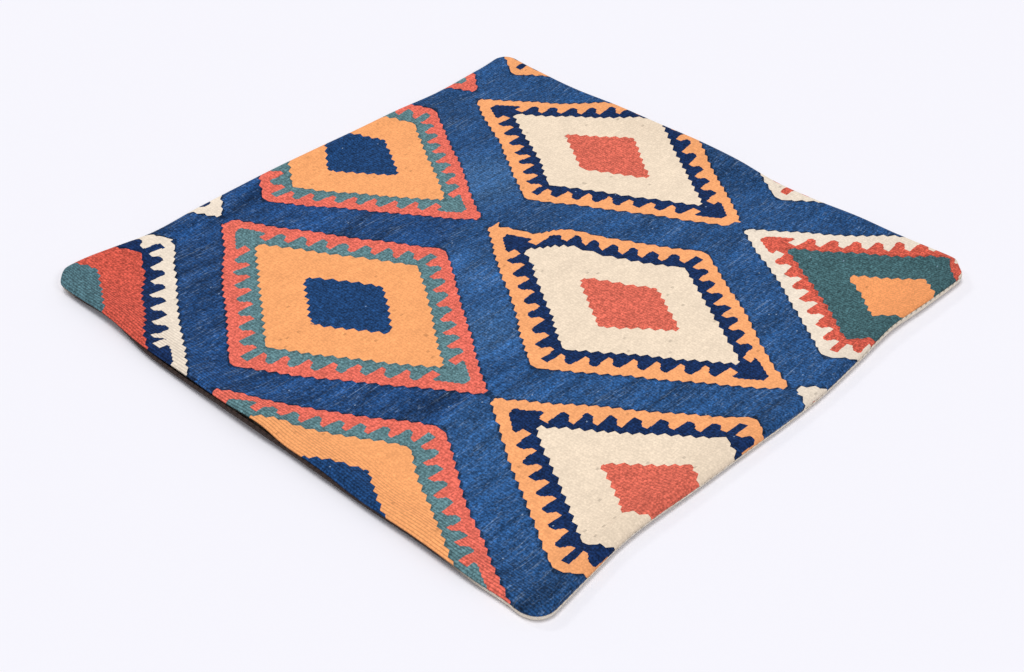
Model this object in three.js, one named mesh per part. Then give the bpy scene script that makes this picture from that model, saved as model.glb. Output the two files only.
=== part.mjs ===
// Kilim cushion cover, empty and lying on its back: a hand-woven wool kilim front and a plain cotton canvas
// back, sewn face to face round the edge and turned right side out.
// Millimetres. The origin is the middle of the underside, +X and +Y run along the sides, +Z is up.
import * as THREE from "three";

// Driving dimensions
const SIDE = 500;
const CORNER_RADIUS = 18;
const KILIM_THICKNESS = 2.4;
const CANVAS_THICKNESS = 1.2;
const CLOTH_GAP = 0.3;
const SEAM_HEIGHT = 2.9; // of the seam above the underside at the edge
const CANVAS_ROLL = 3; // width over which the canvas turns up to the seam
const RIM_RISE = 3.5; // height that the turned-in seam allowances add at the edge
const RIM_REACH = 34; // how far in from the edge the cloth comes down again
const LIFT_REACH = 70; // how far in from the edge a wave of the edge dies out
const SHIFT_REACH = 45; // how far in from the edge its sideways waves die out

// Steps of the meshes: cells across each sheet, and steps round each turned edge
const KILIM_CELLS = 32;
const CANVAS_CELLS = 24;
const KILIM_ROLL_STEPS = 4;
const CANVAS_ROLL_STEPS = 3;
const EDGE_CROWDING = 0.6; // 0 for even cells, towards 1 for finer ones at the edge

// The waves of the four edges, by the distance along each side. The front and back sides run along +X, the left
// and right sides along +Y. out: how far the edge stands out of the straight line. lift: how high the underside
// is off the surface. roll: how wide the kilim turns over. tuck: how far the canvas lies in under the kilim.
const FRONT_EDGE = [
  { at: 0, out: 0, lift: 1, roll: 6, tuck: 0.5 },
  { at: 60, out: 0, lift: 1.2, roll: 7, tuck: 0.5 },
  { at: 110, out: -2.2, lift: 4, roll: 12, tuck: 0.6 },
  { at: 160, out: -0.6, lift: 3, roll: 9, tuck: 0.5 },
  { at: 205, out: 0.2, lift: 1.8, roll: 7, tuck: 0.4 },
  { at: 285, out: 1.8, lift: 0.4, roll: 6, tuck: 0.4 },
  { at: 343, out: 0, lift: 2, roll: 6, tuck: 0.3 },
  { at: 394, out: -2.4, lift: 4.6, roll: 5, tuck: 0.2 },
  { at: 435, out: -1, lift: 3.2, roll: 6, tuck: 0.3 },
  { at: 500, out: 0, lift: 2.4, roll: 6, tuck: 0.4 },
];
const LEFT_EDGE = [
  { at: 0, out: 0, lift: 1, roll: 6, tuck: 0.5 },
  { at: 50, out: 0.2, lift: 1.6, roll: 8, tuck: 2 },
  { at: 100, out: -0.3, lift: 2.6, roll: 12, tuck: 3.5 },
  { at: 150, out: 0.5, lift: 2, roll: 11, tuck: 3.5 },
  { at: 190, out: -0.3, lift: 3.4, roll: 9, tuck: 4 },
  { at: 225, out: 0, lift: 3, roll: 12, tuck: 4 },
  { at: 255, out: -0.8, lift: 5, roll: 14, tuck: 5 },
  { at: 290, out: -0.2, lift: 4.2, roll: 11, tuck: 5 },
  { at: 335, out: 0.8, lift: 2.6, roll: 7, tuck: 4 },
  { at: 380, out: 0.5, lift: 2.4, roll: 7, tuck: 4 },
  { at: 430, out: -1, lift: 3.8, roll: 8, tuck: 3 },
  { at: 470, out: -0.5, lift: 2, roll: 7, tuck: 1.5 },
  { at: 500, out: 0, lift: 1.4, roll: 6, tuck: 0.8 },
];
const BACK_EDGE = [
  { at: 0, out: 0, lift: 1.4, roll: 6, tuck: 0.8 },
  { at: 50, out: 0, lift: 1.6, roll: 6, tuck: 0.6 },
  { at: 95, out: -1, lift: 0.6, roll: 7, tuck: 0.6 },
  { at: 140, out: 0, lift: 2, roll: 7, tuck: 0.6 },
  { at: 215, out: 0.8, lift: 3.2, roll: 8, tuck: 0.8 },
  { at: 262, out: 0.9, lift: 3.6, roll: 8, tuck: 0.8 },
  { at: 310, out: 0.3, lift: 2.6, roll: 7, tuck: 0.6 },
  { at: 355, out: -0.3, lift: 1.8, roll: 6, tuck: 0.6 },
  { at: 403, out: -1.6, lift: 0.5, roll: 6, tuck: 0.6 },
  { at: 455, out: 0, lift: 2, roll: 6, tuck: 0.6 },
  { at: 500, out: 0, lift: 2, roll: 6, tuck: 0.6 },
];
const RIGHT_EDGE = [
  { at: 0, out: 0, lift: 2.4, roll: 6, tuck: 0.4 },
  { at: 70, out: 0, lift: 2, roll: 6, tuck: 0.5 },
  { at: 106, out: 0.2, lift: 2.2, roll: 6, tuck: 0.6 },
  { at: 145, out: -0.4, lift: 1.4, roll: 7, tuck: 0.6 },
  { at: 185, out: -0.6, lift: 1, roll: 7, tuck: 0.6 },
  { at: 226, out: 0.8, lift: 3.2, roll: 7, tuck: 0.6 },
  { at: 269, out: 1, lift: 3.6, roll: 8, tuck: 0.8 },
  { at: 313, out: 0.5, lift: 2.8, roll: 7, tuck: 0.6 },
  { at: 358, out: 0.2, lift: 2.6, roll: 7, tuck: 0.6 },
  { at: 406, out: -0.8, lift: 1.2, roll: 6, tuck: 0.6 },
  { at: 455, out: -0.4, lift: 1.6, roll: 6, tuck: 0.6 },
  { at: 500, out: 0, lift: 2, roll: 6, tuck: 0.6 },
];

// Low swells of the kilim over the canvas, where air is left in the cover: middle, half length, half width,
// the length's turn from +X in degrees, and height.
const SWELLS = [
  { x: 70, y: 20, length: 150, width: 75, turn: 40, height: 1.6 },
  { x: -115, y: -95, length: 130, width: 60, turn: -35, height: 2.2 },
  { x: -90, y: 130, length: 120, width: 65, turn: 15, height: 1.4 },
  { x: 150, y: -140, length: 95, width: 60, turn: 60, height: 2 },
  { x: 145, y: 160, length: 100, width: 60, turn: -20, height: 1.2 },
];

const HALF = SIDE / 2;

// A smooth curve through the rows of one edge, at a distance along the side.
function along(rows, at, column) {
  const slope = (i) => {
    if (i === 0 || i === rows.length - 1) return 0;
    return (rows[i + 1][column] - rows[i - 1][column]) / (rows[i + 1].at - rows[i - 1].at);
  };
  const place = THREE.MathUtils.clamp(at, 0, SIDE);
  let i = 0;
  while (i < rows.length - 2 && place > rows[i + 1].at) i += 1;
  const span = rows[i + 1].at - rows[i].at;
  const t = (place - rows[i].at) / span;
  const rise = t * t * (3 - 2 * t);
  return (
    rows[i][column] * (1 - rise) +
    rows[i + 1][column] * rise +
    slope(i) * span * t * (1 - t) * (1 - t) -
    slope(i + 1) * span * t * t * (1 - t)
  );
}

// The four sides as a point of the cloth sees them: the side's rows, the distance along it and in from it, and
// the direction that leads out over it.
function sidesSeenFrom(x, y) {
  return [
    { rows: FRONT_EDGE, at: x + HALF, inward: y + HALF, outX: 0, outY: -1 },
    { rows: BACK_EDGE, at: x + HALF, inward: HALF - y, outX: 0, outY: 1 },
    { rows: LEFT_EDGE, at: y + HALF, inward: x + HALF, outX: -1, outY: 0 },
    { rows: RIGHT_EDGE, at: y + HALF, inward: HALF - x, outX: 1, outY: 0 },
  ];
}

// 1 at the edge, falling smoothly to 0 at the reach.
function fade(inward, reach) {
  const t = Math.min(inward / reach, 1);
  return (1 - t * t) * (1 - t * t);
}

// One column of the edge rows, averaged over the sides that are near. spread is how much of it is felt here.
function edgeColumn(x, y, column) {
  let total = 0;
  let weights = 0;
  let unfelt = 1;
  for (const side of sidesSeenFrom(x, y)) {
    const weight = fade(side.inward, LIFT_REACH);
    total += weight * along(side.rows, side.at, column);
    weights += weight;
    unfelt *= 1 - weight;
  }
  return { value: weights > 0 ? total / weights : 0, spread: 1 - unfelt };
}

function liftAt(x, y) {
  const { value, spread } = edgeColumn(x, y, "lift");
  return value * spread;
}

// How near a point is to the rim, from 1 on it to 0 at RIM_REACH, going round the corners.
function rimNearness(x, y) {
  const nearX = Math.max(0, 1 - (HALF - Math.abs(x)) / RIM_REACH);
  const nearY = Math.max(0, 1 - (HALF - Math.abs(y)) / RIM_REACH);
  return Math.min(1, Math.hypot(nearX, nearY));
}

function swellAt(x, y) {
  return SWELLS.reduce((sum, swell) => {
    const turn = THREE.MathUtils.degToRad(swell.turn);
    const dx = x - swell.x;
    const dy = y - swell.y;
    const lengthwise = (dx * Math.cos(turn) + dy * Math.sin(turn)) / swell.length;
    const crosswise = (dy * Math.cos(turn) - dx * Math.sin(turn)) / swell.width;
    return sum + swell.height * Math.exp(-lengthwise * lengthwise - crosswise * crosswise);
  }, 0);
}

function kilimTop(x, y) {
  const near = rimNearness(x, y);
  const rise = near * near * (3 - 2 * near);
  const flatTop = CANVAS_THICKNESS + CLOTH_GAP + KILIM_THICKNESS;
  return flatTop + liftAt(x, y) + RIM_RISE * rise + swellAt(x, y) * (1 - rise);
}

// Distances from the middle of the sheet to its cell lines, closer together towards the edge.
function cellLines(cells) {
  return Array.from({ length: cells + 1 }, (_, i) => {
    const t = (2 * i) / cells - 1;
    return HALF * ((1 - EDGE_CROWDING) * t + EDGE_CROWDING * Math.sin((t * Math.PI) / 2));
  });
}

// Brings a point of the square in to the rounded corner.
function roundedCorner(x, y) {
  const start = HALF - CORNER_RADIUS;
  const a = Math.max(0, (Math.abs(x) - start) / CORNER_RADIUS);
  const b = Math.max(0, (Math.abs(y) - start) / CORNER_RADIUS);
  if (a === 0 || b === 0) return { x, y };
  return {
    x: Math.sign(x) * (start + CORNER_RADIUS * a * Math.sqrt(1 - (b * b) / 2)),
    y: Math.sign(y) * (start + CORNER_RADIUS * b * Math.sqrt(1 - (a * a) / 2)),
  };
}

// The outward direction at the edge. It shortens to nothing a corner radius in from it.
function outwardAt(x, y) {
  const outward = (v) => Math.sign(v) * Math.max(0, 1 - (HALF - Math.abs(v)) / CORNER_RADIUS);
  return { x: outward(x), y: outward(y) };
}

function edgeShift(x, y) {
  const shift = { x: 0, y: 0 };
  for (const side of sidesSeenFrom(x, y)) {
    const out = along(side.rows, side.at, "out") * fade(side.inward, SHIFT_REACH);
    shift.x += side.outX * out;
    shift.y += side.outY * out;
  }
  return shift;
}

// A sheet with its edge turned over to the seam. faceZ gives the height of its outer face, and facing is 1 where
// that face looks up and -1 where it looks down. rollAt is the width of the turn, insetAt how far the sheet stays
// in from the outline, and seamZ the height at which the turned edge ends.
function turnedSheet({ cells, rollSteps, thickness, facing, faceZ, seamZ, rollAt, insetAt }) {
  const lines = cellLines(cells);
  const row = cells + 1;
  const points = [];
  const plan = [];
  for (const lineY of lines) {
    for (const lineX of lines) {
      const cloth = roundedCorner(lineX, lineY);
      const outward = outwardAt(cloth.x, cloth.y);
      const shift = edgeShift(cloth.x, cloth.y);
      const drawnIn = rollAt(cloth.x, cloth.y) + insetAt(cloth.x, cloth.y);
      plan.push({
        clothX: cloth.x,
        clothY: cloth.y,
        outward,
        x: cloth.x + shift.x - outward.x * drawnIn,
        y: cloth.y + shift.y - outward.y * drawnIn,
      });
    }
  }
  for (const p of plan) points.push([p.x, p.y, faceZ(p.clothX, p.clothY)]);
  const innerStart = points.length;
  for (const p of plan) points.push([p.x, p.y, faceZ(p.clothX, p.clothY) - facing * thickness]);

  // The grid's border, anticlockwise from the front left corner.
  const border = [];
  for (let i = 0; i < cells; i += 1) border.push(i);
  for (let i = 0; i < cells; i += 1) border.push(i * row + cells);
  for (let i = cells; i > 0; i -= 1) border.push(cells * row + i);
  for (let i = cells; i > 0; i -= 1) border.push(i * row);

  const turnRing = (depth, angle) => {
    const start = points.length;
    for (const index of border) {
      const p = plan[index];
      const length = Math.hypot(p.outward.x, p.outward.y);
      const face = faceZ(p.clothX, p.clothY);
      const seam = seamZ(p.clothX, p.clothY);
      const reach = (rollAt(p.clothX, p.clothY) - depth) * Math.cos(angle);
      const drop = (Math.abs(face - seam) - depth) * Math.sin(angle);
      points.push([
        p.x + (p.outward.x / length) * reach,
        p.y + (p.outward.y / length) * reach,
        seam + facing * drop,
      ]);
    }
    return border.map((_, i) => start + i);
  };
  const angles = Array.from({ length: rollSteps }, (_, i) => (Math.PI / 2) * (1 - (i + 1) / rollSteps));
  const outerRings = [border, ...angles.map((angle) => turnRing(0, angle))];
  const innerRings = [border.map((i) => i + innerStart), ...angles.map((angle) => turnRing(thickness, angle))];

  const triangles = [];
  const quad = (a, b, c, d) => triangles.push([a, b, c], [a, c, d]);
  for (let j = 0; j < cells; j += 1) {
    for (let i = 0; i < cells; i += 1) {
      const a = j * row + i;
      quad(a, a + 1, a + row + 1, a + row);
      quad(innerStart + a, innerStart + a + row, innerStart + a + row + 1, innerStart + a + 1);
    }
  }
  const loop = [...outerRings, ...innerRings.reverse()];
  for (let ring = 0; ring < loop.length - 1; ring += 1) {
    for (let i = 0; i < border.length; i += 1) {
      const next = (i + 1) % border.length;
      quad(loop[ring][i], loop[ring + 1][i], loop[ring + 1][next], loop[ring][next]);
    }
  }
  const wound = facing > 0 ? triangles : triangles.map(([a, b, c]) => [a, c, b]);
  const geometry = new THREE.BufferGeometry();
  geometry.setAttribute("position", new THREE.Float32BufferAttribute(points.flat(), 3));
  geometry.setIndex(wound.flat());
  geometry.computeVertexNormals();
  return geometry;
}

// Slit-woven wool panel, turned down all round to the seam
function kilimFront() {
  const geometry = turnedSheet({
    cells: KILIM_CELLS,
    rollSteps: KILIM_ROLL_STEPS,
    thickness: KILIM_THICKNESS,
    facing: 1,
    faceZ: kilimTop,
    seamZ: (x, y) => liftAt(x, y) + SEAM_HEIGHT + CLOTH_GAP,
    rollAt: (x, y) => edgeColumn(x, y, "roll").value,
    insetAt: () => 0,
  });
  const wool = new THREE.MeshStandardMaterial({ color: 0x2b4f86, roughness: 0.95, metalness: 0 });
  const mesh = new THREE.Mesh(geometry, wool);
  mesh.name = "kilim_front";
  return mesh;
}

// Plain cotton canvas panel, flat on the surface and turned up all round to the seam
function canvasBack() {
  const geometry = turnedSheet({
    cells: CANVAS_CELLS,
    rollSteps: CANVAS_ROLL_STEPS,
    thickness: CANVAS_THICKNESS,
    facing: -1,
    faceZ: liftAt,
    seamZ: (x, y) => liftAt(x, y) + SEAM_HEIGHT,
    rollAt: () => CANVAS_ROLL,
    insetAt: (x, y) => edgeColumn(x, y, "tuck").value,
  });
  const cotton = new THREE.MeshStandardMaterial({ color: 0xcdb99b, roughness: 0.9, metalness: 0 });
  const mesh = new THREE.Mesh(geometry, cotton);
  mesh.name = "canvas_back";
  return mesh;
}

const cover = new THREE.Group();
cover.name = "kilim_cushion_cover";
cover.add(canvasBack(), kilimFront());

export default cover;
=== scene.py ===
from collections import namedtuple
from math import pi, radians, sqrt

import bpy
import numpy as np
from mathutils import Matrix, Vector


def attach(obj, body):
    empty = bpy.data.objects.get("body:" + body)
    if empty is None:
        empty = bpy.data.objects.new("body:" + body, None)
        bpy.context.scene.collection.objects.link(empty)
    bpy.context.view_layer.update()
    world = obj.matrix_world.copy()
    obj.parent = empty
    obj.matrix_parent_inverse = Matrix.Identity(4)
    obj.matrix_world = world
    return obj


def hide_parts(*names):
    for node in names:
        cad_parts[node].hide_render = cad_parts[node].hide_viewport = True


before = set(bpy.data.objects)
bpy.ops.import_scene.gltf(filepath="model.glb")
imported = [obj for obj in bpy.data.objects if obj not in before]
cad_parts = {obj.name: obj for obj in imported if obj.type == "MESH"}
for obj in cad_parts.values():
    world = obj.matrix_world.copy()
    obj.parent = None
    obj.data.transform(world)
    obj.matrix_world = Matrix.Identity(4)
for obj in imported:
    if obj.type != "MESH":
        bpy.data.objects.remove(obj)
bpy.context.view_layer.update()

# Canvas back. A square of plain-woven natural cotton canvas that lies on the surface. It is turned up all
# round to the seam, where it is sewn to the kilim, so that only a narrow band of it shows under the kilim's
# edge.
MM = 0.001
SIDE = 500
HALF = SIDE / 2
CORNER_RADIUS = 18
LIFT_REACH = 70  # how far in from the edge a wave of the edge dies out
SHIFT_REACH = 45  # how far in from the edge its sideways waves die out
CANVAS_THICKNESS = 1.2
CANVAS_ROLL = 1.6  # width over which the canvas turns up
CANVAS_TURN = 3  # cloth that the turn takes beyond the outline
CANVAS_CELLS = 112
CANVAS_CROWDING = (0.85, 0.85)  # how much its cells crowd towards the edge, across and lengthwise
TURN_STEPS = 32  # steps in which the way round a turned edge is measured
TINY = 1e-9

# The waves of the four sides, by the distance along each one. out: how far the edge stands out of the
# straight line. lift: how high the underside is off the surface. band: how far the canvas comes up to the
# seam. roll: how wide the kilim turns over. tuck: how far the canvas lies in under the kilim.
Wave = namedtuple("Wave", "at out lift band roll tuck")
FRONT_SIDE = [
    Wave(at=0, out=3.4, lift=0.6, band=4, roll=4, tuck=0),
    Wave(at=25, out=2, lift=0.5, band=3.8, roll=5, tuck=0.1),
    Wave(at=60, out=-1.9, lift=0.5, band=3.4, roll=6, tuck=0.2),
    Wave(at=85, out=-4.6, lift=1, band=3.2, roll=8, tuck=0.2),
    Wave(at=110, out=-5.1, lift=1.6, band=3.2, roll=10, tuck=0.2),
    Wave(at=160, out=-2.6, lift=1.2, band=3.2, roll=8, tuck=0.2),
    Wave(at=205, out=-1.1, lift=0.8, band=3.4, roll=6, tuck=0.2),
    Wave(at=285, out=1.4, lift=0.3, band=3.8, roll=5, tuck=0.1),
    Wave(at=343, out=-1.7, lift=0.8, band=4.6, roll=5, tuck=0),
    Wave(at=370, out=-4.3, lift=1.2, band=5, roll=4, tuck=-0.2),
    Wave(at=394, out=-5.8, lift=1.6, band=5.4, roll=4, tuck=-0.4),
    Wave(at=435, out=-3.5, lift=1.2, band=5.6, roll=4, tuck=-0.4),
    Wave(at=500, out=-1.8, lift=1, band=5.2, roll=5, tuck=0),
]
LEFT_SIDE = [
    Wave(at=0, out=-3, lift=0.6, band=4.4, roll=4, tuck=0),
    Wave(at=25, out=-4, lift=1, band=4.6, roll=5, tuck=0.6),
    Wave(at=50, out=-2.3, lift=1.4, band=4.8, roll=6, tuck=0.9),
    Wave(at=100, out=-2.4, lift=2.2, band=4.8, roll=9, tuck=0.9),
    Wave(at=150, out=-1.3, lift=1.8, band=4.8, roll=8, tuck=0.6),
    Wave(at=190, out=-2.1, lift=3, band=5, roll=7, tuck=-1),
    Wave(at=225, out=-1.7, lift=2.8, band=5, roll=9, tuck=-0.6),
    Wave(at=252, out=-3, lift=4, band=5.4, roll=12, tuck=-3.2),
    Wave(at=290, out=-1.1, lift=3.6, band=5.2, roll=7, tuck=-1.6),
    Wave(at=335, out=-2, lift=2.2, band=5, roll=5, tuck=-2.4),
    Wave(at=380, out=-1.4, lift=2.2, band=5, roll=5, tuck=-0.8),
    Wave(at=430, out=-4.4, lift=3.2, band=5, roll=6, tuck=2),
    Wave(at=470, out=-4, lift=2, band=4.8, roll=5, tuck=1),
    Wave(at=500, out=-3.6, lift=2.4, band=4.6, roll=5, tuck=0.5),
]
BACK_SIDE = [
    Wave(at=0, out=2, lift=2.4, band=4, roll=5, tuck=0.8),
    Wave(at=35, out=2.4, lift=2, band=3.6, roll=5, tuck=0.7),
    Wave(at=60, out=-0.2, lift=1.4, band=3.4, roll=5, tuck=0.6),
    Wave(at=95, out=-4, lift=0.6, band=3.4, roll=6, tuck=0.6),
    Wave(at=140, out=-3.4, lift=2, band=3.4, roll=6, tuck=0.6),
    Wave(at=215, out=-2.8, lift=3, band=3.4, roll=7, tuck=0.8),
    Wave(at=262, out=-4, lift=3.2, band=3.4, roll=7, tuck=0.8),
    Wave(at=310, out=-4.8, lift=2.4, band=3.4, roll=6, tuck=0.6),
    Wave(at=355, out=-5, lift=1.8, band=3.4, roll=5, tuck=0.6),
    Wave(at=403, out=-6.4, lift=0.5, band=3.4, roll=5, tuck=0.6),
    Wave(at=455, out=-5.6, lift=2, band=3.4, roll=5, tuck=0.6),
    Wave(at=500, out=-2.4, lift=2, band=3.4, roll=5, tuck=0.6),
]
RIGHT_SIDE = [
    Wave(at=0, out=-0.8, lift=1, band=5, roll=5, tuck=0),
    Wave(at=70, out=-4.4, lift=1.8, band=4, roll=5, tuck=0.5),
    Wave(at=106, out=-4.6, lift=2, band=3.4, roll=5, tuck=0.6),
    Wave(at=145, out=-6, lift=0.8, band=3.4, roll=6, tuck=0.6),
    Wave(at=185, out=-5.8, lift=0.5, band=3.4, roll=6, tuck=0.6),
    Wave(at=226, out=-2.4, lift=2.6, band=3.4, roll=6, tuck=0.6),
    Wave(at=269, out=-1.4, lift=3.4, band=3.4, roll=7, tuck=0.8),
    Wave(at=313, out=-2, lift=2.6, band=3.4, roll=6, tuck=0.6),
    Wave(at=358, out=-2.6, lift=2.4, band=3.4, roll=6, tuck=0.6),
    Wave(at=406, out=-4.6, lift=1.2, band=3.4, roll=5, tuck=0.6),
    Wave(at=455, out=-4, lift=1.6, band=3.4, roll=5, tuck=0.6),
    Wave(at=500, out=-2.4, lift=2, band=3.4, roll=5, tuck=0.6),
]

# The four corners. out: how far the corner stands out along its diagonal. reach: how far from it that is
# felt.
Corner = namedtuple("Corner", "x y out reach")
CORNERS = [
    Corner(x=-1, y=-1, out=0.6, reach=16),
    Corner(x=1, y=-1, out=-6.2, reach=9),
    Corner(x=1, y=1, out=2.5, reach=12),
    Corner(x=-1, y=1, out=-3.5, reach=9),
]


def along(waves, at, column):
    """A smooth curve through one column of a side's waves, at distances along the side."""
    places = np.array([wave.at for wave in waves], float)
    values = np.array([getattr(wave, column) for wave in waves], float)
    slopes = np.zeros_like(values)
    slopes[1:-1] = (values[2:] - values[:-2]) / (places[2:] - places[:-2])
    at = np.clip(at, 0, SIDE)
    i = np.clip(np.searchsorted(places, at, side="right") - 1, 0, len(places) - 2)
    span = places[i + 1] - places[i]
    t = (at - places[i]) / span
    rise = t * t * (3 - 2 * t)
    bend = slopes[i] * (1 - t) - slopes[i + 1] * t
    return values[i] * (1 - rise) + values[i + 1] * rise + bend * span * t * (1 - t)


def sides_seen_from(x, y):
    """For each side: its waves, the distance along it and in from it, and the direction out over it."""
    return [
        (FRONT_SIDE, x + HALF, y + HALF, 0, -1),
        (BACK_SIDE, x + HALF, HALF - y, 0, 1),
        (LEFT_SIDE, y + HALF, x + HALF, -1, 0),
        (RIGHT_SIDE, y + HALF, HALF - x, 1, 0),
    ]


def fade(inward, reach):
    """1 at the edge, falling smoothly to 0 at the reach."""
    t = np.clip(inward / reach, 0, 1)
    return (1 - t * t) ** 2


def edge_column(x, y, column):
    """One column of the waves, averaged over the sides that are near, and how much of it is felt here."""
    total = weights = 0
    unfelt = 1
    for waves, at, inward, _, _ in sides_seen_from(x, y):
        weight = fade(inward, LIFT_REACH)
        total = total + weight * along(waves, at, column)
        weights = weights + weight
        unfelt = unfelt * (1 - weight)
    return total / np.maximum(weights, TINY), 1 - unfelt


def lift_at(x, y):
    """The height of the underside."""
    value, felt = edge_column(x, y, "lift")
    return value * felt


def seam_at(x, y):
    """The height of the canvas's end."""
    return lift_at(x, y) + edge_column(x, y, "band")[0]


def turned_panel(name, across, lengthwise, crowding, turn, facing, face, seam, roll, inset, sway=None):
    """A flat cloth whose edge turns over to the seam, as a single surface. facing is 1 for a cloth whose
    outer face looks up and -1 for one that looks down. face and seam are heights, and roll and inset are
    widths at the edge."""
    half = HALF + turn
    bpy.ops.object.select_all(action="DESELECT")
    bpy.ops.mesh.primitive_grid_add(x_subdivisions=across, y_subdivisions=lengthwise, size=2 * half * MM)
    panel = bpy.context.object
    panel.name = panel.data.name = name
    mesh = panel.data
    flat = np.empty(len(mesh.vertices) * 3, np.float32)
    mesh.vertices.foreach_get("co", flat)
    flat = flat.reshape(-1, 3).astype(float) / MM

    # The cloth's own coordinates: its cells crowd towards the edge, and its corners are rounded.
    start = HALF - CORNER_RADIUS
    corner = half - start
    x, y = (
        half * ((1 - crowd) * v / half + crowd * np.sin(v / half * pi / 2))
        for v, crowd in zip(flat.T[:2], crowding)
    )
    a, b = (np.maximum(0, (np.abs(v) - start) / corner) for v in (x, y))
    in_corner = (a > 0) & (b > 0)
    x, y = (
        np.where(in_corner, np.sign(v) * (start + corner * c * np.sqrt(1 - d * d / 2)), v)
        for v, c, d in ((x, a, b), (y, b, a))
    )

    # The direction out over the nearest edge, and the distance to the cloth's end.
    over_x, over_y = (np.where(in_corner, np.abs(v) - start, 0) for v in (x, y))
    over = np.maximum(np.hypot(over_x, over_y), TINY)
    nearest_x = np.abs(x) >= np.abs(y)
    out_x = np.sign(x) * np.where(in_corner, over_x / over, nearest_x)
    out_y = np.sign(y) * np.where(in_corner, over_y / over, ~nearest_x)
    to_end = np.where(in_corner, corner - over, half - np.maximum(np.abs(x), np.abs(y)))

    # Where the point would be if the edge weren't turned. All of the turn belongs to the outline itself.
    inward = to_end - turn
    edge_roll = roll(x + out_x * inward, y + out_y * inward)
    squeezed = CORNER_RADIUS * (inward - edge_roll) / (CORNER_RADIUS - edge_roll)
    depth = np.where(inward < CORNER_RADIUS, np.maximum(squeezed, 0), inward)
    own_x, own_y = x + out_x * (inward - depth), y + out_y * (inward - depth)
    face_z, seam_z = face(own_x, own_y), seam(own_x, own_y)

    # The turn is a quarter of an ellipse, and the cloth goes round it evenly.
    steps = np.linspace(0, pi / 2, TURN_STEPS + 1)
    drop = np.abs(face_z - seam_z)
    speed = np.hypot(edge_roll[:, None] * np.cos(steps), drop[:, None] * np.sin(steps))
    length = np.cumsum((speed[:, 1:] + speed[:, :-1]) / 2, axis=1)
    share = np.clip((edge_roll + turn - to_end) / (edge_roll + turn), 0, 1)
    reached = length < (share * length[:, -1])[:, None]
    i = np.clip(reached.sum(1), 0, length.shape[1] - 1)
    row = np.arange(len(i))
    before = np.where(i > 0, length[row, i - 1], 0)
    part = (share * length[:, -1] - before) / (length[row, i] - before)
    angle = steps[i] + part * (steps[1] - steps[0])
    turning = share > 0
    reach = np.where(turning, edge_roll * np.sin(angle) - edge_roll + inward, 0)
    height = np.where(turning, seam_z + facing * drop * np.cos(angle), face_z)

    moved_x = moved_y = 0
    for waves, at, inside, side_x, side_y in sides_seen_from(own_x, own_y):
        shift = along(waves, at, "out") * fade(inside, SHIFT_REACH)
        moved_x, moved_y = moved_x + side_x * shift, moved_y + side_y * shift
    for one in CORNERS:
        away = np.hypot(own_x - one.x * HALF, own_y - one.y * HALF)
        shift = one.out * np.exp(-((away / one.reach) ** 2) / 2) / sqrt(2)
        moved_x, moved_y = moved_x + one.x * shift, moved_y + one.y * shift
    tucked = inset(own_x, own_y) * np.clip(1 - depth / CORNER_RADIUS, 0, 1)
    wave_x, wave_y = sway(x, y) if sway else (0, 0)
    place = np.stack(
        [
            x + out_x * (reach - tucked) + moved_x + wave_x,
            y + out_y * (reach - tucked) + moved_y + wave_y,
            height,
        ],
        axis=1,
    )
    mesh.vertices.foreach_set("co", (place * MM).astype(np.float32).ravel())

    # The map "cloth" holds the place on the flat cloth, from 0 to 1 across it each way.
    cloth = mesh.uv_layers[0]
    cloth.name = "cloth"
    corners = np.empty(len(mesh.loops), np.int32)
    mesh.loops.foreach_get("vertex_index", corners)
    on_cloth = (np.stack([x, y], axis=1) / (2 * half) + 0.5)[corners]
    cloth.uv.foreach_set("vector", on_cloth.astype(np.float32).ravel())
    if facing < 0:
        mesh.flip_normals()
    mesh.update()
    return panel


def given_thickness(panel, thickness):
    """Turns the surface into a closed cloth, its outer face left where it is."""
    bpy.ops.object.select_all(action="DESELECT")
    panel.select_set(True)
    bpy.context.view_layer.objects.active = panel
    bpy.ops.object.modifier_add(type="SOLIDIFY")
    solidify = panel.modifiers[-1]
    solidify.thickness = thickness * MM
    solidify.offset = -1
    solidify.use_even_offset = True
    bpy.ops.object.modifier_apply(modifier=solidify.name)
    bpy.ops.object.shade_smooth()


canvas_panel = turned_panel(
    "canvas_panel",
    across=CANVAS_CELLS,
    lengthwise=CANVAS_CELLS,
    crowding=CANVAS_CROWDING,
    turn=CANVAS_TURN,
    facing=-1,
    face=lift_at,
    seam=seam_at,
    roll=lambda x, y: np.full(len(x), float(CANVAS_ROLL)),
    inset=lambda x, y: edge_column(x, y, "tuck")[0],
)
given_thickness(canvas_panel, CANVAS_THICKNESS)


def plug(tree, value, socket):
    """Gives a socket a number, a vector or another node's result."""
    value = getattr(value, "socket", value)
    if isinstance(value, bpy.types.NodeSocket):
        tree.links.new(value, socket)
    else:
        socket.default_value = value


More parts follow.
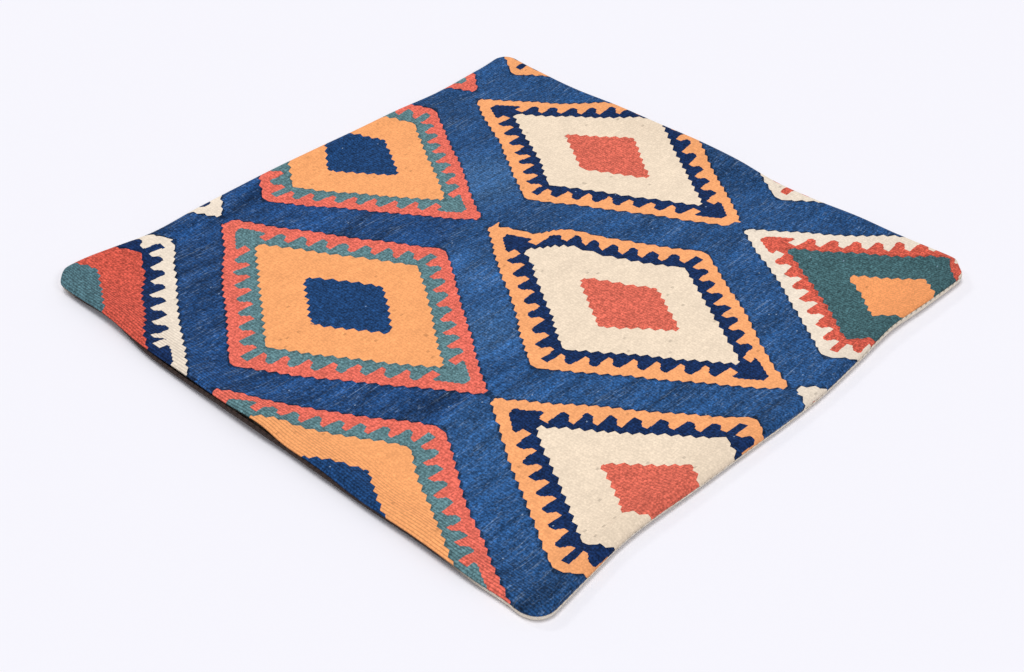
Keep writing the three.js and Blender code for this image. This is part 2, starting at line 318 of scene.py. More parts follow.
class Over:
    """Something that differs from place to place over a cloth, worked out by shader nodes."""

    def __init__(self, tree, socket):
        self.tree, self.socket = tree, socket

    def node(self, kind, inputs, output=0, **settings):
        node = self.tree.nodes.new(kind)
        for name, value in settings.items():
            setattr(node, name, value)
        for key, value in inputs.items():
            plug(self.tree, value, node.inputs[key])
        return Over(self.tree, node.outputs[output])

    def math(self, operation, *others):
        inputs = dict(enumerate((self, *others)))
        return self.node("ShaderNodeMath", inputs, operation=operation)

    def vector(self, operation, *others, output=0):
        inputs = dict(enumerate((self, *others)))
        return self.node("ShaderNodeVectorMath", inputs, output, operation=operation)

    def __add__(self, other):
        return self.math("ADD", other)

    def __sub__(self, other):
        return self.math("SUBTRACT", other)

    def __rsub__(self, other):
        return self.node("ShaderNodeMath", {0: other, 1: self}, operation="SUBTRACT")

    def __mul__(self, other):
        return self.math("MULTIPLY", other)

    def __truediv__(self, other):
        return self.math("DIVIDE", other)

    def __lt__(self, other):
        return self.math("LESS_THAN", other)

    def __gt__(self, other):
        return self.math("GREATER_THAN", other)

    def __abs__(self):
        return self.math("ABSOLUTE")

    def floor(self):
        return self.math("FLOOR")

    def step(self, low, high):
        """0 below low, 1 above high, and smooth between."""
        inputs = {"Value": self, "From Min": low, "From Max": high}
        return self.node("ShaderNodeMapRange", inputs, interpolation_type="SMOOTHSTEP")

    def within(self, low, high):
        """low where this is 0 and high where it is 1."""
        return self.node("ShaderNodeMapRange", {"Value": self, "To Min": low, "To Max": high})

    def wave(self, length):
        """From 0 to 1 and back over each length."""
        return (self * (2 * pi / length)).math("COSINE") * -0.5 + 0.5

    def noise(self, long, wide, detail=2.0, roughness=0.5):
        """Soft noise from about 0 to 1, its lumps so long along the weft and so wide along the warps."""
        scaled = self.vector("MULTIPLY", [1 / long, 1 / wide, 1])
        inputs = {"Vector": scaled, "Scale": 1.0, "Detail": detail, "Roughness": roughness}
        return self.node("ShaderNodeTexNoise", inputs, noise_dimensions="2D")

    def scatter(self):
        """A random number from 0 to 1 for each value."""
        return self.node("ShaderNodeTexWhiteNoise", {"Vector": self}, noise_dimensions="3D")

    def mixed_number(self, first, second):
        """The first number where this is 0 and the second where it is 1."""
        return self.node("ShaderNodeMix", {"Factor": self, 2: first, 3: second}, data_type="FLOAT")

    def mixed(self, first, second):
        """The first colour where this is 0 and the second where it is 1."""
        inputs = {"Factor": self, 6: first, 7: second}
        return self.node("ShaderNodeMix", inputs, output=2, data_type="RGBA")

    def times(self, colour, strength=1.0):
        """A colour multiplied by this number, as far as strength says."""
        grey = self.node("ShaderNodeCombineColor", {0: self, 1: self, 2: self})
        inputs = {"Factor": strength, 6: colour, 7: grey}
        return self.node("ShaderNodeMix", inputs, output=2, data_type="RGBA", blend_type="MULTIPLY")


def apart(tree, vector):
    """The three numbers of a vector."""
    separate = tree.nodes.new("ShaderNodeSeparateXYZ")
    plug(tree, vector, separate.inputs[0])
    return [Over(tree, socket) for socket in separate.outputs]


def place_on(tree, half, name="cloth"):
    """The place that a map gives on the flat cloth, in millimetres, as a vector and as its two numbers."""
    cloth = tree.nodes.new("ShaderNodeUVMap")
    cloth.uv_map = name
    place = Over(tree, cloth.outputs[0]).vector("MULTIPLY_ADD", [2 * half] * 3, [-half, -half, 0])
    x, y, _ = apart(tree, place)
    return place, x, y


def vector_of(tree, *numbers):
    together = tree.nodes.new("ShaderNodeCombineXYZ")
    for number, socket in zip(numbers, together.inputs):
        plug(tree, number, socket)
    return Over(tree, together.outputs[0])


def linear(red, green, blue):
    """A colour that is given as it looks on a screen, from 0 to 255."""
    shares = np.array([red, green, blue]) / 255
    return [*np.where(shares > 0.04045, ((shares + 0.055) / 1.055) ** 2.4, shares / 12.92), 1.0]


def cloth_material(name, roughness, gloss):
    """A new material, its nodes and its shader."""
    material = bpy.data.materials.new(name)
    material.use_nodes = True
    shader = material.node_tree.nodes["Principled BSDF"]
    shader.inputs["Roughness"].default_value = roughness
    shader.inputs["Specular IOR Level"].default_value = gloss
    return material, material.node_tree, shader


def bumped(tree, height, depth, shader):
    bump = tree.nodes.new("ShaderNodeBump")
    bump.inputs["Strength"].default_value = 1.0
    bump.inputs["Distance"].default_value = depth * MM
    plug(tree, height, bump.inputs["Height"])
    tree.links.new(bump.outputs[0], shader.inputs["Normal"])


def dressed(panel, material):
    panel.data.materials.clear()
    panel.data.materials.append(material)


CANVAS_THREAD = 1.1
CANVAS_DEPTH = 0.25  # how deep the weave is
CANVAS_LIGHT = linear(252, 244, 230)
CANVAS_DARK = linear(226, 210, 186)
# Dark brown painted on the canvas as the shade under the lifted left edge
CANVAS_PAINTED_SHADE = linear(58, 42, 36)
PAINTED_SHADE_WIDTH = 9  # width of the dark brown painted shade along the left side, with its turn
PAINTED_SHADE_FRONT = (-225, -165)  # where the painted shade begins, and is dark all over, from the front
PAINTED_SHADE_BACK = (250, 215)  # and from the back
STITCH = 6
STITCH_THREAD = 0.9
STITCH_SHADE = 0.5


def cotton_canvas(half):
    """Plain weave: each thread rises over one and dips under the next. Some threads are thicker and darker,
    the edge along the left side is painted dark brown as the shade under it, and the seam's stitches dot the
    canvas's end."""
    material, tree, cotton = cloth_material("cotton_canvas", roughness=0.85, gloss=0.25)
    place, x, y = place_on(tree, half)
    over = (x * (pi / CANVAS_THREAD)).math("SINE") * (y * (pi / CANVAS_THREAD)).math("SINE")
    threads = abs(over)
    tint = place.noise(long=9, wide=2.4, detail=3) * 0.6 + threads * 0.5
    colour = tint.step(0.15, 0.85).mixed(CANVAS_DARK, CANVAS_LIGHT)
    patchy = place.noise(long=14, wide=14, detail=3)
    inward = x + half + (patchy - 0.5) * 5
    # Painted shade: the canvas is dark brown along the left edge, where the lifted edge is in shade
    painted_shade = inward.step(PAINTED_SHADE_WIDTH + 2, PAINTED_SHADE_WIDTH - 3) * y.step(*PAINTED_SHADE_FRONT) * y.step(*PAINTED_SHADE_BACK)
    colour = painted_shade.mixed(colour, CANVAS_PAINTED_SHADE)
    stitches = 0.0
    for across, lengthwise in ((abs(y), x), (abs(x), y)):
        at_seam = (half - across).step(STITCH_THREAD + 0.5, STITCH_THREAD - 0.5)
        stitches = at_seam * lengthwise.wave(STITCH).step(0.6, 0.85) + stitches
    colour = stitches.within(1.0, STITCH_SHADE).times(colour)
    tree.links.new(colour.socket, cotton.inputs["Base Color"])
    bumped(tree, threads + place.noise(long=3, wide=3) * 0.5, CANVAS_DEPTH, cotton)
    return material


dressed(canvas_panel, cotton_canvas(HALF + CANVAS_TURN))
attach(canvas_panel, "root")
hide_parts("canvas_back")

# Kilim front. A square of hand-woven wool kilim: coloured wefts beaten down over the warps, so that each
# warp shows as a rib along Y, and steps of two ribs along every slanting edge of the diamonds. It is turned
# down all round to the seam, and the allowances turned in under it raise its rim.
KILIM_THICKNESS = 2.4
CLOTH_GAP = 0.3
RIM_RISE = 3.8  # height that the seam allowances add at the edge
RIM_REACH = 34  # how far in from the edge the cloth comes down again
KILIM_TURN = 2
RIBS = 198
RIB = 2 * (HALF + KILIM_TURN) / RIBS
RIB_RELIEF = 0.022
KILIM_ROWS = 108
KILIM_CROWDING = (0, 0.6)

# Low swells of the kilim over the canvas, where air is left in the cover
Swell = namedtuple("Swell", "x y length width turn height")
SWELLS = [
    Swell(x=70, y=20, length=150, width=75, turn=40, height=0.8),
    Swell(x=-115, y=-95, length=130, width=60, turn=-35, height=1),
    Swell(x=-90, y=130, length=120, width=65, turn=15, height=0.7),
    Swell(x=150, y=-140, length=95, width=60, turn=60, height=1),
    Swell(x=145, y=160, length=100, width=60, turn=-20, height=0.6),
]


def swells_at(x, y, swells):
    """How high the swells stand."""
    height = 0
    for swell in swells:
        turn = radians(swell.turn)
        dx, dy = x - swell.x, y - swell.y
        lengthwise = (dx * np.cos(turn) + dy * np.sin(turn)) / swell.length
        crosswise = (dy * np.cos(turn) - dx * np.sin(turn)) / swell.width
        height = height + swell.height * np.exp(-lengthwise**2 - crosswise**2)
    return height


def kilim_top(x, y):
    """The height of the kilim's face."""
    near_x, near_y = (np.maximum(0, 1 - (HALF - np.abs(v)) / RIM_REACH) for v in (x, y))
    near = np.minimum(1, np.hypot(near_x, near_y))
    rise = near * near * (3 - 2 * near)
    lying = CANVAS_THICKNESS + CLOTH_GAP + KILIM_THICKNESS
    return lying + lift_at(x, y) + RIM_RISE * rise + swells_at(x, y, SWELLS) * (1 - rise)


# How the warps and wefts wander in a cloth beaten by hand, as waves. far: how far they go. along, across: the
# lengths over which they come and go. start: where they begin.
Sway = namedtuple("Sway", "far along across start")
WARP_SWAYS = [
    Sway(far=1.0, along=24, across=65, start=0.6),
    Sway(far=0.5, along=9.5, across=-30, start=2.1),
]
WEFT_SWAYS = [
    Sway(far=0.8, along=20, across=52, start=1.7),
    Sway(far=0.5, along=9.8, across=38, start=0.3),
]
SWAY_MARGIN = 40  # less and less of it within this distance of the edge


def swayed(sways, along, across):
    return sum(sway.far * np.sin(along / sway.along + across / sway.across + sway.start) for sway in sways)


def woven_sway(x, y):
    """How far the threads wander, across and lengthwise."""
    inside = np.clip((HALF - np.maximum(np.abs(x), np.abs(y))) / SWAY_MARGIN, 0, 1)
    return swayed(WARP_SWAYS, y, x) * inside, swayed(WEFT_SWAYS, x, y) * inside


kilim_panel = turned_panel(
    "kilim_panel",
    across=2 * RIBS,
    lengthwise=KILIM_ROWS,
    crowding=KILIM_CROWDING,
    turn=KILIM_TURN,
    facing=1,
    face=kilim_top,
    seam=lambda x, y: seam_at(x, y) + CLOTH_GAP,
    roll=lambda x, y: edge_column(x, y, "roll")[0],
    inset=lambda x, y: np.zeros(len(x)),
    sway=woven_sway,
)


def ribbed(panel, half, relief):
    """Raises the middle of each warp's rib and sinks the line between two."""
    mesh = panel.data
    place, normal = (np.empty(len(mesh.vertices) * 3, np.float32) for _ in range(2))
    mesh.vertices.foreach_get("co", place)
    mesh.vertices.foreach_get("normal", normal)
    corners = np.empty(len(mesh.loops), np.int32)
    mesh.loops.foreach_get("vertex_index", corners)
    cloth = np.empty(len(mesh.loops) * 2, np.float32)
    mesh.uv_layers["cloth"].uv.foreach_get("vector", cloth)
    across = np.empty(len(mesh.vertices))
    across[corners] = cloth[0::2] * 2 * half
    height = -np.cos(2 * pi * across / RIB) * relief * MM
    place = place.reshape(-1, 3) + normal.reshape(-1, 3) * height[:, None]
    mesh.vertices.foreach_set("co", place.astype(np.float32).ravel())
    mesh.update()


ribbed(kilim_panel, HALF + KILIM_TURN, RIB_RELIEF)
given_thickness(kilim_panel, KILIM_THICKNESS)

# The pattern is a repeat of diamonds, each of them set off by one column and row step from the next. No two
# come out quite alike: column and row give the place in the repeat, and the rest says how far the middle and
# each of the four tips ended up from it, across and along.
COLUMN_STEP = 144.5
ROW_STEP = 151.5
FIRST_MIDDLE = (30, -86)
NAVY, TEAL, INDIGO, RED = range(4)  # the kinds of diamond, by the colour of their teeth
Diamond = namedtuple("Diamond", "column row kind middle top right bottom left")
DIAMONDS = [
    Diamond(0, 0, NAVY, (2.5, -2), top=(5.5, 1), right=(-3.5, 0.5), bottom=(4.5, 6), left=(-3, 0.5)),
    Diamond(1, 1, NAVY, (9.5, -0.5), top=(-0.5, -4), right=(8, 0), bottom=(-2.5, -2), left=(11, 2.5)),
    Diamond(-1, -1, NAVY, (5, 3.5), top=(-4, 0), right=(6.5, 5.5), bottom=(0, 0), left=(5.5, 5.5)),
    Diamond(2, 2, NAVY, (6, 2), top=(4, 2), right=(4, 2), bottom=(4, 2), left=(8, 2)),
    Diamond(-1, 1, TEAL, (3, -1.5), top=(8.5, 6.5), right=(3.5, -1.5), bottom=(-0.5, 0), left=(-3.5, 4.5)),
    Diamond(0, 2, TEAL, (6, -2.5), top=(6, 3), right=(5, 8), bottom=(10, 6), left=(4, 1.5)),
    Diamond(-2, 0, TEAL, (0, 3.5), top=(12, -11), right=(-1, 0.5), bottom=(6, 4), left=(5, 4)),
    Diamond(1, 3, TEAL, (6, 3), top=(6, 3), right=(6, 3), bottom=(8, 2.5), left=(6, 3)),
    Diamond(-2, 2, INDIGO, (10, 16), top=(11, 14), right=(10, 11), bottom=(8, 10), left=(11, 14)),
    Diamond(-1, 3, INDIGO, (8, 4), top=(8, 4), right=(8, 4), bottom=(11, 4.5), left=(8, 4)),
    Diamond(1, -1, RED, (0, 6.5), top=(-2, 0), right=(6, 4), bottom=(-6, 8), left=(4.5, 7)),
    Diamond(2, 0, RED, (6, 5), top=(6, 5), right=(6, 5), bottom=(6, 5), left=(8, 4.5)),
    Diamond(0, -2, RED, (6, 6), top=(7, 8), right=(6, 6), bottom=(6, 6), left=(6, 6)),
]
OUTER = (100.2, 150)  # half width and half height of the whole diamond
FIELD = (70.5, 107)
MIDDLE = (33.5, 50)
OUTER_BLUNT = (2.6, 3.6)  # how much the side tips and the end tips fall short of a point
INNER_BLUNT = (0.8, 3.2)
FARTHEST = 1.06  # left of LEFT_EDGE, nothing of a diamond lies farther out than this share of its size
LEFT_EDGE = -235
TOOTH = 14.2  # length of a tooth along the warps
LONG_TOOTH = 15  # the same in diamonds with indigo teeth
FIRST_TOOTH = 3.5  # half the height of the bar across the middle
LAST_TOOTH = 102.9
TOOTH_MARGIN = 8.2  # width of the outer colour beside a tooth's point
TOOTH_SLANT = 5  # how much narrower a tooth is at its root
TOOTH_NARROWS = (0.38, 0.74)  # the part of its length, from its flat edge on, where it gets narrower
TOOTH_ROUNDING = 1.2  # how much its point is rounded
TOOTH_ROUNDS = (0.14, 0.0)
TOOTH_SHARPNESS = 0.4  # how far its edges keep to the ribs
BAR_MARGIN = 11
NECK = 7.6  # half width of the neck beyond the last tooth
BLOB = (110.5, 129.5)  # where the blob on the neck begins and ends
BLOB_MARGIN = 10.5
BLOB_HALF = 14  # most of its half width
OUTER_STEPS = 0.5  # 0 for a straight slanting edge, 1 for square steps
INNER_STEPS = 0.62
TIP = (0.9, 0.96)  # the share of the half width where the steps end, before a side tip
UNEVENNESS = 1.2  # how uneven the steps are

# Places where the weaver pushed the pattern sideways
Push = namedtuple("Push", "x y across lengthwise out")
PUSHES = [
    # The first diamond has a shoulder at its upper right, is narrower at its upper left, and the top of its
    # field leans to the left.
    Push(x=64, y=2, across=22, lengthwise=27, out=10.5),
    Push(x=56, y=29, across=15, lengthwise=13, out=-9),
    Push(x=-24, y=-38, across=28, lengthwise=30, out=4),
    Push(x=31, y=14, across=13, lengthwise=11, out=-4),
    # The green field ends early at the right-hand corner.
    Push(x=236, y=-252, across=22, lengthwise=18, out=-17),
    # The red field at the left-hand corner is steeper than the rest.
    Push(x=-240, y=142, across=18, lengthwise=26, out=-3.5),
    Push(x=-194, y=204, across=13, lengthwise=14, out=3),
]


def middle_of(diamond):
    """The place in the even repeat."""
    return FIRST_MIDDLE[0] + diamond.column * COLUMN_STEP, FIRST_MIDDLE[1] + diamond.row * ROW_STEP


def strayed(x, y):
    """How far the pattern strays from the even repeat, at places on the cloth."""
    distance = np.full(len(x), np.inf)
    stray = np.zeros((2, len(x)))
    for diamond in DIAMONDS:
        even_x, even_y = middle_of(diamond)
        across, along_warps = x - even_x - diamond.middle[0], y - even_y - diamond.middle[1]
        a, b = np.abs(across) / OUTER[0], np.abs(along_warps) / OUTER[1]
        near = a + b < distance
        distance = np.where(near, a + b, distance)
        for i in (0, 1):
            side = np.where(across > 0, diamond.right[i], diamond.left[i]) - diamond.middle[i]
            end = np.where(along_warps > 0, diamond.top[i], diamond.bottom[i]) - diamond.middle[i]
            stray[i] = np.where(near, diamond.middle[i] + a * side + b * end, stray[i])
    for push in PUSHES:
        felt = np.exp(-(((x - push.x) / push.across) ** 2) - ((y - push.y) / push.lengthwise) ** 2)
        stray[0] += push.out * felt
    return stray[0], stray[1]


def charted(panel, half):
    """Adds the map "chart": for each place on the cloth, the place in the even repeat that is woven there."""
    mesh = panel.data
    cloth = np.empty(len(mesh.loops) * 2, np.float32)
    mesh.uv_layers["cloth"].uv.foreach_get("vector", cloth)
    place = (cloth.reshape(-1, 2).astype(float) - 0.5) * 2 * half
    woven = place - np.stack(strayed(*place.T), axis=1)
    chart = mesh.uv_layers.new(name="chart", do_init=False)
    chart.uv.foreach_set("vector", (woven / (2 * half) + 0.5).astype(np.float32).ravel())


charted(kilim_panel, HALF + KILIM_TURN)

# The colours by the kind of diamond, in the order of the kinds
OUTER_WOOL = [(252, 173, 114), (234, 112, 94), (243, 228, 208), (243, 228, 208)]
TEETH_WOOL = [(20, 46, 90), (96, 132, 137), (20, 46, 90), (217, 96, 77)]
FIELD_WOOL = [(244, 224, 198), (253, 172, 110), (212, 90, 73), (67, 102, 107)]
MIDDLE_WOOL = [(222, 108, 88), (28, 66, 113), (82, 117, 126), (250, 163, 102)]
BLUE_WOOL = (38, 79, 128)
INDIGO_WOOL = (29, 68, 117)
PALE_WOOL = (150, 172, 196)
FADED_WOOL = (124, 177, 226)

# The ground is indigo left of and above each of these places in the even repeat, and blue elsewhere
Deeper = namedtuple("Deeper", "left_of above")
INDIGO_GROUND = [Deeper(left_of=36, above=72), Deeper(left_of=-116, above=-79)]

# Lots of the ground's blue that took more or less dye, with their half sizes. paler is a share of faded wool,
# and a negative one is how much darker the lot is.
Lot = namedtuple("Lot", "x y across lengthwise paler")
LOTS = [
    Lot(x=80, y=112, across=55, lengthwise=45, paler=0.12),
    Lot(x=-25, y=30, across=45, lengthwise=40, paler=0.04),
    Lot(x=-70, y=-30, across=55, lengthwise=34, paler=0.09),
    Lot(x=-150, y=-120, across=60, lengthwise=45, paler=0.03),
    Lot(x=135, y=225, across=50, lengthwise=34, paler=-0.26),
    Lot(x=235, y=-20, across=50, lengthwise=45, paler=-0.28),
    Lot(x=230, y=-130, across=40, lengthwise=40, paler=-0.06),
    Lot(x=-232, y=-232, across=40, lengthwise=34, paler=-0.18),
]
LOT_FADES = (1.2, 0.2)  # from nothing to all of it, as shares of its half sizes

Chart = namedtuple("Chart", "x y off_x off_y rib_off pair_off kind uncut")


def read_chart(tree, place, x, half):
    """For each place on the cloth: its place in the even repeat, how far it is from the middle of the
    nearest diamond, exactly, by ribs and by pairs of ribs, that diamond's kind, and 0 where the diamond is
    cut short."""
    _, woven_x, woven_y = place_on(tree, half, "chart")

    # The nearest diamond's middle in the even repeat, with its kind as the third number of the same vector
    nearest = distance = None
    for diamond in DIAMONDS:
        even_x, even_y = middle_of(diamond)
        woven_middle = (even_x + diamond.middle[0], even_y + diamond.middle[1], 0)
        away = place.vector("SUBTRACT", woven_middle).vector("ABSOLUTE")
        away = away.vector("DOT_PRODUCT", [1 / OUTER[0], 1 / OUTER[1], 0], output=1)
        here = [even_x, even_y, diamond.kind]
        if distance is None:
            nearest, distance = here, away
            continue
        inputs = {"Factor": away < distance, 4: nearest, 5: here}
        nearest = away.node("ShaderNodeMix", inputs, output=1, data_type="VECTOR")
        distance = distance.math("MINIMUM", away)
    middle_x, middle_y, kind = apart(tree, nearest)

    # The ribs stay straight where the pattern strays, so each colour still ends between two ribs: after one
    # rib at the teeth, and after two along the slanting edges, whose steps are beaten softer. No two are
    # quite alike.
    strayed_middle = middle_x + (x - woven_x)
    rib = (x / RIB).floor()
    pair = (x / (2 * RIB)).floor()
    step = vector_of(tree, pair + (woven_y > middle_y) * 0.5, middle_x, middle_y)
    return Chart(
        x=woven_x,
        y=woven_y,
        off_x=woven_x - middle_x,
        off_y=abs(woven_y - middle_y + (step.scatter() - 0.5) * UNEVENNESS),
        rib_off=(rib + 0.5) * RIB - strayed_middle,
        pair_off=(pair + 0.5) * (2 * RIB) - strayed_middle,
        kind=kind,
        uncut=(distance < FARTHEST).math("MAXIMUM", x > LEFT_EDGE),
    )


def slanted(chart, size, steps, blunt):
    """Where a diamond of this half width and half height lies, and how far out in it each place is. Its
    slanting edges are stepped and its tips blunt."""
    tip = (abs(chart.off_x) / size[0]).step(*TIP)
    stepped = abs(chart.pair_off * steps + chart.off_x * (1 - steps))
    reach = tip.mixed_number(stepped, abs(chart.off_x)) / size[0] + chart.off_y / size[1]
    off_tips = (abs(chart.rib_off) < size[0] - blunt[0]) * (chart.off_y < size[1] - blunt[1])
    return (reach < 1) * off_tips, reach


def toothed(chart):
    """Where the teeth's colour lies: a bar across the middle, a row of teeth above and below it whose points
    follow the slanting edge, and a neck with a blob at each end."""
    off_y = chart.off_y
    length = (abs(chart.kind - INDIGO) < 0.5).within(TOOTH, LONG_TOOTH)
    tooth = ((off_y - FIRST_TOOTH) / length).math("CEIL")
    flat_edge = tooth * length + FIRST_TOOTH
    edge_width = (1 - flat_edge / OUTER[1]) * OUTER[0] - TOOTH_MARGIN
    down_tooth = (flat_edge - off_y) / length
    slant = down_tooth.step(*TOOTH_NARROWS) * TOOTH_SLANT + down_tooth.step(*TOOTH_ROUNDS) * TOOTH_ROUNDING
    width = (off_y < FIRST_TOOTH).within(edge_width - slant, OUTER[0] - BAR_MARGIN)
    width = (off_y > LAST_TOOTH).within(width, NECK)
    blob_width = ((1 - off_y / OUTER[1]) * OUTER[0] - BLOB_MARGIN).math("MINIMUM", BLOB_HALF)
    width = (off_y > BLOB[0]).within(width, blob_width)
    width = (off_y > BLOB[1]).within(width, 0.0)
    return abs(chart.rib_off * TOOTH_SHARPNESS + chart.off_x * (1 - TOOTH_SHARPNESS)) < width


def by_kind(kind, colours):
    """The colour of each kind of diamond."""
    ramp = kind.node("ShaderNodeValToRGB", {"Fac": (kind + 0.5) / len(colours)})
    table = ramp.socket.node.color_ramp
    table.interpolation = "CONSTANT"
    for i, colour in enumerate(colours):
        stop = table.elements[i] if i < 2 else table.elements.new(i / len(colours))
        stop.position = i / len(colours)
        stop.color = linear(*colour)
    return ramp


def blue_ground(place, x, chart):
    """Blue wool from several dyeings, banded along the weft, with pale threads and flecks all over it."""
    deeper = 0.0
    for part in INDIGO_GROUND:
        deeper = ((chart.x < part.left_of) * (chart.y > part.above)).math("MAXIMUM", deeper)
    ground = deeper.mixed(linear(*BLUE_WOOL), linear(*INDIGO_WOOL))
    bands = place.noise(long=110, wide=19, roughness=0.6).within(0.0, 2.05)
    fine_bands = place.noise(long=50, wide=4.5).within(0.6, 1.4)
    ground = (bands * fine_bands).times(ground, x.step(80, -40).within(0.55, 1.0))
    paler, darker = 0.0, 1.0
    for lot in LOTS:
        away = place.vector("SUBTRACT", [lot.x, lot.y, 0]).vector("DIVIDE", [lot.across, lot.lengthwise, 1])
        share = away.vector("LENGTH", output=1).step(*LOT_FADES) * lot.paler
        if lot.paler > 0:
            paler = share + paler
        else:
            darker = share + darker
    ground = paler.mixed(darker.times(ground), linear(*FADED_WOOL))
    threads = place.noise(long=38, wide=1.5, detail=3, roughness=0.65).step(0.54, 0.78)
    patches = place.noise(long=60, wide=26).step(0.38, 0.7).within(0.08, 0.46)
    flecks = place.noise(long=7, wide=1.4, roughness=0.6).step(0.56, 0.8) * 0.26
    return (threads * patches + flecks).mixed(ground, linear(*PALE_WOOL))


EDGE_SLANT = 0.83  # from a width across the cloth to one square to a slanting edge
JOIN_LINE = 1.9  # width of the painted shadow line in the slit where the ground meets a diamond, or the teeth the field
JOIN_SHADE = 0.4
FIELD_JOIN_SHADE = 0.72


def join_line(reach, size):
    """The painted shadow in the slit between two colours along a slanting edge."""
    return ((reach - 1) * size[0] * EDGE_SLANT / JOIN_LINE).step(1.0, 0.4)


def patterned(chart, ground):
    """The diamonds on their ground."""
    in_outer, outer_reach = slanted(chart, OUTER, OUTER_STEPS, OUTER_BLUNT)
    in_field, field_reach = slanted(chart, FIELD, INNER_STEPS, INNER_BLUNT)
    in_middle, _ = slanted(chart, MIDDLE, INNER_STEPS, INNER_BLUNT)
    # Painted shadow darkens the slits along the edges of the diamonds and of their fields
    ground = join_line(outer_reach, OUTER).within(1.0, JOIN_SHADE).times(ground)
    rim = toothed(chart).mixed(by_kind(chart.kind, OUTER_WOOL), by_kind(chart.kind, TEETH_WOOL))
    rim = join_line(field_reach, FIELD).within(1.0, FIELD_JOIN_SHADE).times(rim)
    colour = (in_outer * chart.uncut).mixed(ground, rim)
    colour = in_field.mixed(colour, by_kind(chart.kind, FIELD_WOOL))
    return in_middle.mixed(colour, by_kind(chart.kind, MIDDLE_WOOL))


BEAD = 2.0  # length of one turn of weft over a warp
WEAVE_DEPTH = 0.12
DARK_WOOL = 0.15  # wool up to this light shows white hairs
LIGHT_WOOL = 0.3  # and wool from this one on brown flecks
NO_HAIR = 0.9996  # the share of quarter turns without a white hair
NO_FLECK = 0.995  # the share of turns without a brown fleck
WHITE_HAIR = 0.7  # how much of the wool's own colour a hair hides
FLECK_SHADE = 0.72
EDGE_DARKENED_FRONT = (-206, -246)  # where the wool is made a little darker, towards the front edge
EDGE_DARKENED_RIGHT = (195, 240)
EDGE_DARKENED_SHADE = 0.84
ROLLED_LEFT_EDGE = (-206, -240)  # where the cloth rolls down over the left edge, with painted shade in the lines between its ribs
ROLLED_EDGE_SHADE = 0.55


def hand_spun(tree, place, x, y, colour):
    """Streaks along the wefts, and each turn over a warp a little lighter or darker, most of all in dark
    wool, where painted shade in the lines between the ribs, painted light on their crests and a few white
    hairs show too. Light wool has brown flecks. With the colour comes the height of the weave."""
    rib = (x / RIB).floor()
    shifted = y + rib.math("MODULO", 2.0) * (BEAD / 2)
    turns = vector_of(tree, rib, (shifted / BEAD).floor(), 0.0).scatter()
    grain = vector_of(tree, (x / (RIB / 2)).floor(), (shifted / (BEAD / 2)).floor(), 1.0).scatter()
    streaks = place.noise(long=50, wide=2.4, detail=3, roughness=0.6)
    mottled = place.noise(long=3.2, wide=2.6, roughness=0.6)
    patchy = place.noise(long=26, wide=15, detail=3, roughness=0.6)
    rib_wave = x.wave(RIB)
    lightness = colour.node("ShaderNodeRGBToBW", {0: colour})

    shade = streaks.within(0.75, 1.25) * turns.within(0.86, 1.14) * grain.within(0.5, 1.5)
    # rib_wave paints shade into the lines between the ribs and light onto their crests
    shade = shade * mottled.within(0.45, 1.55) * rib_wave.within(0.8, 1.12)
    colour = shade.times(colour, lightness.step(0.0, 0.62).within(0.97, 0.17))
    colour = patchy.within(0.9, 1.1).times(colour)
    white_hair = (grain > NO_HAIR) * (lightness < DARK_WOOL) * WHITE_HAIR
    colour = white_hair.mixed(colour, linear(*PALE_WOOL))
    brown_fleck = (turns > NO_FLECK) * (lightness > LIGHT_WOOL)
    colour = brown_fleck.within(1.0, FLECK_SHADE).times(colour)
    # The wool is made a little darker towards the front and right edges
    edge_darkened = (y.step(*EDGE_DARKENED_FRONT) + x.step(*EDGE_DARKENED_RIGHT) * 0.6) * patchy
    colour = edge_darkened.within(1.0, EDGE_DARKENED_SHADE).times(colour)
    # Painted shade in the lines between the ribs where the cloth rolls down over the left edge
    rolled_edge_shade = x.step(*ROLLED_LEFT_EDGE) * rib_wave.step(0.5, 0.0) * patchy
    colour = rolled_edge_shade.within(1.0, ROLLED_EDGE_SHADE).times(colour)

    bead_wave = (shifted / BEAD * pi).math("SINE")
    return colour, abs(bead_wave) * rib_wave * 0.36 + mottled * 0.9


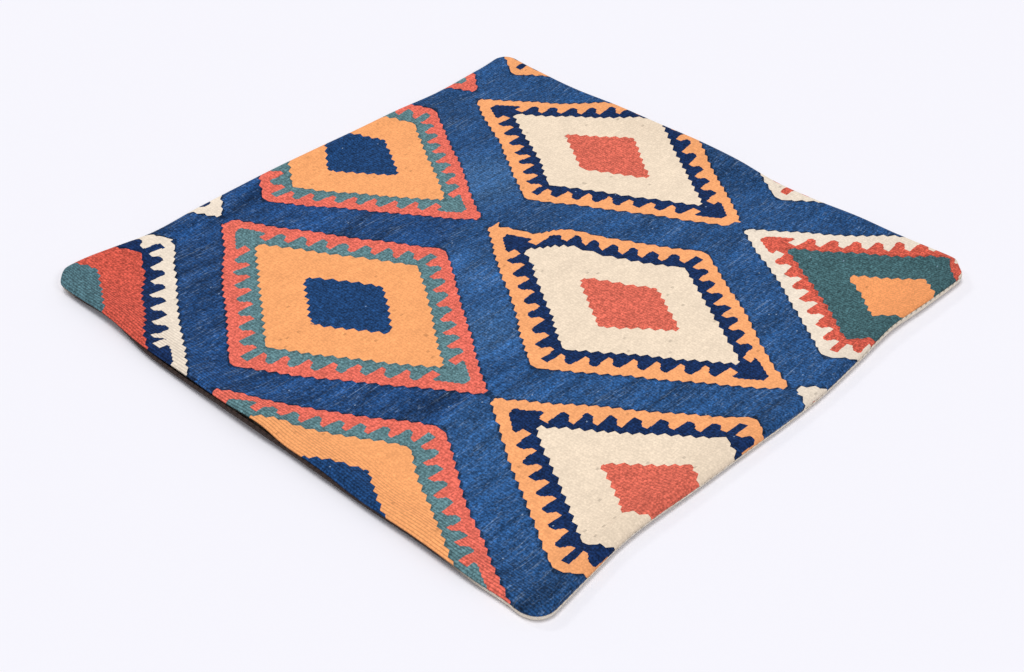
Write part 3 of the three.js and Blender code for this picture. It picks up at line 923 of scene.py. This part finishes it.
def wool_kilim(half):
    material, tree, wool = cloth_material("kilim_wool", roughness=0.95, gloss=0.1)
    wool.inputs["Sheen Weight"].default_value = 0.04
    wool.inputs["Sheen Roughness"].default_value = 0.5
    place, x, y = place_on(tree, half)
    chart = read_chart(tree, place, x, half)
    colour = patterned(chart, blue_ground(place, x, chart))
    colour, height = hand_spun(tree, place, x, y, colour)
    tree.links.new(colour.socket, wool.inputs["Base Color"])
    bumped(tree, height, WEAVE_DEPTH, wool)
    return material


dressed(kilim_panel, wool_kilim(HALF + KILIM_TURN))
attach(kilim_panel, "root")
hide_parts("kilim_front")

# Setting. A pale floor, a large soft lamp nearly overhead, weak ones behind and in front, and an even pale
# room. The camera shows the cover at the photograph's angle.
FLOOR_SIZE = 12000
bpy.context.scene.view_settings.view_transform = "Standard"
bpy.ops.object.select_all(action="DESELECT")
bpy.ops.mesh.primitive_plane_add(size=FLOOR_SIZE * MM)
floor = bpy.context.object
floor.name = "floor"
paint, _, matt = cloth_material("floor_paint", roughness=0.9, gloss=0.1)
matt.inputs["Base Color"].default_value = linear(247, 246, 251)
floor.data.materials.append(paint)

room = bpy.data.worlds.new("room")
bpy.context.scene.world = room
room.use_nodes = True
room_light = room.node_tree.nodes["Background"]
room_light.inputs["Color"].default_value = linear(250, 250, 255)
room_light.inputs["Strength"].default_value = 0.5


def lamp(name, towards, softness, power):
    """Even light from one direction. softness is the angle in degrees that the lamp seems to fill."""
    bpy.ops.object.light_add(type="SUN")
    light = bpy.context.object
    light.name = name
    light.data.energy = power
    light.data.angle = radians(softness)
    light.rotation_euler = Vector(towards).to_track_quat("Z", "Y").to_euler()


lamp("key_lamp", towards=(-0.1, 0.12, 0.99), softness=24, power=1.25)
lamp("back_lamp", towards=(0, 0.84, 0.54), softness=7, power=0.3)
lamp("front_lamp", towards=(0.05, -0.78, 0.62), softness=15, power=0.42)

CAMERA_PLACE = Vector((-732.15, -694.95, 725.85)) * MM
CAMERA_AIM = Vector((-54.9, -49.95, 4.5)) * MM
FILM_WIDTH = 36
LENS = 57.4
bpy.ops.object.camera_add(location=CAMERA_PLACE)
camera = bpy.context.object
camera.rotation_euler = (CAMERA_AIM - CAMERA_PLACE).to_track_quat("-Z", "Y").to_euler()
camera.data.sensor_width = FILM_WIDTH
camera.data.lens = LENS
bpy.context.scene.camera = camera
